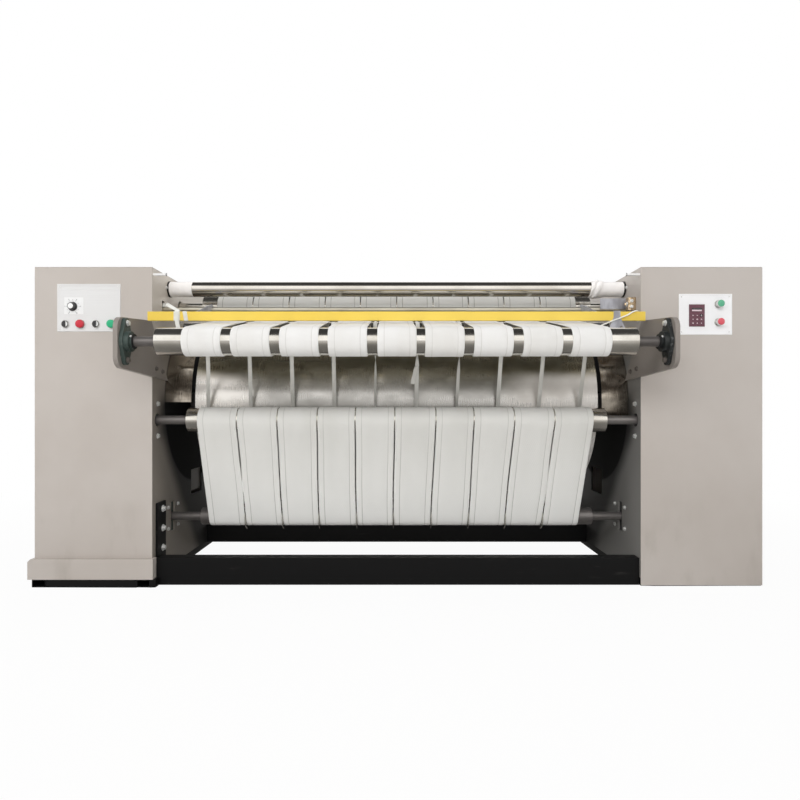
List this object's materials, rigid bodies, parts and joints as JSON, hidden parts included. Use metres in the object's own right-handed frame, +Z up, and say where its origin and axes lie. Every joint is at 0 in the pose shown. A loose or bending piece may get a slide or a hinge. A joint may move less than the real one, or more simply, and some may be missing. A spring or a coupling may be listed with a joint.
{
  "type": "flatwork ironer",
  "caption": "Belt flatwork ironer with two end cabinets, a heated drum, feed and ironing belts, rollers, a finger guard and push-button panels.",
  "frame": {"origin": "centre of the machine's box, on the floor", "axes": "+X to the operator's right along the rollers, +Y to the back, +Z up"},
  "size_m": [3.21, 1.4003, 1.4],
  "materials": {
    "cabinet_paint": "satin warm grey-beige powder coat",
    "black_paint": "semi-gloss black enamel",
    "stainless": "polished stainless sheet",
    "chrome_tube": "polished roller tube",
    "dark_steel": "dark turned steel",
    "bearing_cast": "dark green-grey painted casting",
    "zinc": "bright zinc plate",
    "belt_white": "white needled felt belting",
    "tape_white": "white woven tape",
    "sleeve_white": "white cloth wrap",
    "guard_yellow": "safety yellow paint",
    "panel_silver": "matt silver sheet",
    "panel_white": "near-white panel",
    "dial_white": "white dial",
    "keypad_maroon": "dark maroon membrane",
    "black_plastic": "black moulding",
    "grey_plastic": "grey collar",
    "red_plastic": "red cap",
    "green_plastic": "green cap",
    "brass": "brass-coloured switch body",
    "motor_grey": "grey-blue machine paint",
    "chain_steel": "oiled chain steel"
  },
  "bodies": {
    "frame": {"left_side_plate": "cabinet_paint", "right_side_plate": "cabinet_paint", "left_front_cover": "cabinet_paint", "right_front_cover": "cabinet_paint", "outer_covers": "cabinet_paint", "rear_covers": "cabinet_paint", "top_covers": "cabinet_paint", "base_frames": "black_paint", "left_skirt": "cabinet_paint", "front_beam": "black_paint", "rear_beam": "black_paint", "corner_bracket": "black_paint", "feed_arms": "cabinet_paint", "feed_bearings": "bearing_cast", "roller_bearings": "bearing_cast", "drum_bearings": "bearing_cast", "side_fasteners": "zinc", "drum_guards": "stainless", "guard_switch": "brass", "left_control_panel": "panel_silver", "right_control_panel": "panel_white", "dial_plate": "dial_white", "keypad": "keypad_maroon", "control_collars": "grey_plastic", "ironing_belts": "belt_white", "feed_belts": "belt_white", "guide_tapes": "tape_white", "gearmotor": "motor_grey", "motor_mount": "black_paint", "drive_chain": "chain_steel", "heater": "dark_steel"},
    "drum": {"drum_shell": "stainless", "drum_end_discs": "dark_steel", "drum_journals": "dark_steel", "drum_sprocket": "chain_steel"},
    "feed_roller": {"feed_roller_tube": "chrome_tube", "feed_roller_shaft": "dark_steel"},
    "transfer_roller": {"transfer_roller": "chrome_tube"},
    "delivery_roller": {"delivery_roller_tube": "chrome_tube", "delivery_roller_shaft": "dark_steel"},
    "lower_roller": {"lower_roller_tube": "chrome_tube", "lower_roller_shaft": "dark_steel", "lower_guide_discs": "stainless"},
    "nip_roller": {"nip_roller": "chrome_tube"},
    "rear_lower_roller": {"rear_lower_roller": "chrome_tube"},
    "rear_upper_roller": {"rear_upper_roller": "chrome_tube"},
    "guide_roller": {"guide_roller": "chrome_tube", "guide_sleeves": "sleeve_white"},
    "finger_guard": {"guard_bar": "guard_yellow", "guard_rod": "zinc", "guard_arms": "zinc", "guard_ties": "tape_white"},
    "drive_pinion": {"drive_sprocket": "chain_steel"},
    "speed_dial": {"speed_knob": "black_plastic"},
    "left_selector": {"left_selector": "black_plastic"},
    "right_selector": {"right_selector": "black_plastic"},
    "left_stop": {"left_stop_button": "red_plastic"},
    "left_start": {"left_start_button": "green_plastic"},
    "right_start": {"right_start_button": "green_plastic"},
    "right_stop": {"right_stop_button": "red_plastic"}
  },
  "joints": [
    {"name": "drum_spin", "type": "hinge", "parent": "frame", "child": "drum", "pos_m": [0, 0.19715, 0.808], "axis": [1, 0, 0], "continuous": true},
    {"name": "feed_spin", "type": "hinge", "parent": "frame", "child": "feed_roller", "pos_m": [0, -0.64185, 1.04], "axis": [1, 0, 0], "continuous": true},
    {"name": "transfer_spin", "type": "hinge", "parent": "frame", "child": "transfer_roller", "pos_m": [0, -0.2819, 1.11319], "axis": [1, 0, 0], "continuous": true},
    {"name": "delivery_spin", "type": "hinge", "parent": "frame", "child": "delivery_roller", "pos_m": [0, -0.29022, 0.72732], "axis": [1, 0, 0], "continuous": true},
    {"name": "lower_spin", "type": "hinge", "parent": "frame", "child": "lower_roller", "pos_m": [0, -0.10485, 0.264], "axis": [1, 0, 0], "continuous": true},
    {"name": "nip_spin", "type": "hinge", "parent": "frame", "child": "nip_roller", "pos_m": [0, -0.00698, 1.27973], "axis": [1, 0, 0], "continuous": true},
    {"name": "rear_lower_spin", "type": "hinge", "parent": "frame", "child": "rear_lower_roller", "pos_m": [0, 0.61015, 0.23], "axis": [1, 0, 0], "continuous": true},
    {"name": "rear_upper_spin", "type": "hinge", "parent": "frame", "child": "rear_upper_roller", "pos_m": [0, 0.61015, 1.29], "axis": [1, 0, 0], "continuous": true},
    {"name": "guide_spin", "type": "hinge", "parent": "frame", "child": "guide_roller", "pos_m": [0, -0.14685, 1.341], "axis": [1, 0, 0], "continuous": true},
    {"name": "pinion_spin", "type": "hinge", "parent": "frame", "child": "drive_pinion", "pos_m": [0, 0.19715, 0.33], "axis": [1, 0, 0], "continuous": true},
    {"name": "guard_lift", "type": "hinge", "parent": "frame", "child": "finger_guard", "pos_m": [0, -0.22085, 1.2343], "axis": [-1, 0, 0], "range_deg": [0, 20]},
    {"name": "speed_turn", "type": "hinge", "parent": "frame", "child": "speed_dial", "pos_m": [-1.419, -0.34985, 1.226], "axis": [0, 1, 0], "range_deg": [-150, 150]},
    {"name": "left_selector_turn", "type": "hinge", "parent": "frame", "child": "left_selector", "pos_m": [-1.451, -0.34985, 1.149], "axis": [0, 1, 0], "range_deg": [-45, 45]},
    {"name": "right_selector_turn", "type": "hinge", "parent": "frame", "child": "right_selector", "pos_m": [-1.317, -0.34985, 1.149], "axis": [0, 1, 0], "range_deg": [-45, 45]},
    {"name": "left_stop_press", "type": "slide", "parent": "frame", "child": "left_stop", "axis": [0, 1, 0], "range_m": [0, 0.004], "stiffness_N_per_m": 900},
    {"name": "left_start_press", "type": "slide", "parent": "frame", "child": "left_start", "axis": [0, 1, 0], "range_m": [0, 0.004], "stiffness_N_per_m": 900},
    {"name": "right_start_press", "type": "slide", "parent": "frame", "child": "right_start", "axis": [0, 1, 0], "range_m": [0, 0.004], "stiffness_N_per_m": 900},
    {"name": "right_stop_press", "type": "slide", "parent": "frame", "child": "right_stop", "axis": [0, 1, 0], "range_m": [0, 0.004], "stiffness_N_per_m": 900}
  ],
  "couplings": [
    {"joint": "feed_spin", "follows": "drum_spin", "ratio": 7.3139},
    {"joint": "transfer_spin", "follows": "drum_spin", "ratio": 7.3139},
    {"joint": "delivery_spin", "follows": "drum_spin", "ratio": -7.1705},
    {"joint": "lower_spin", "follows": "drum_spin", "ratio": -9.5437},
    {"joint": "nip_spin", "follows": "drum_spin", "ratio": -7.1705},
    {"joint": "rear_lower_spin", "follows": "drum_spin", "ratio": -7.1705},
    {"joint": "rear_upper_spin", "follows": "drum_spin", "ratio": -7.1705},
    {"joint": "pinion_spin", "follows": "drum_spin", "ratio": 4}
  ]
}
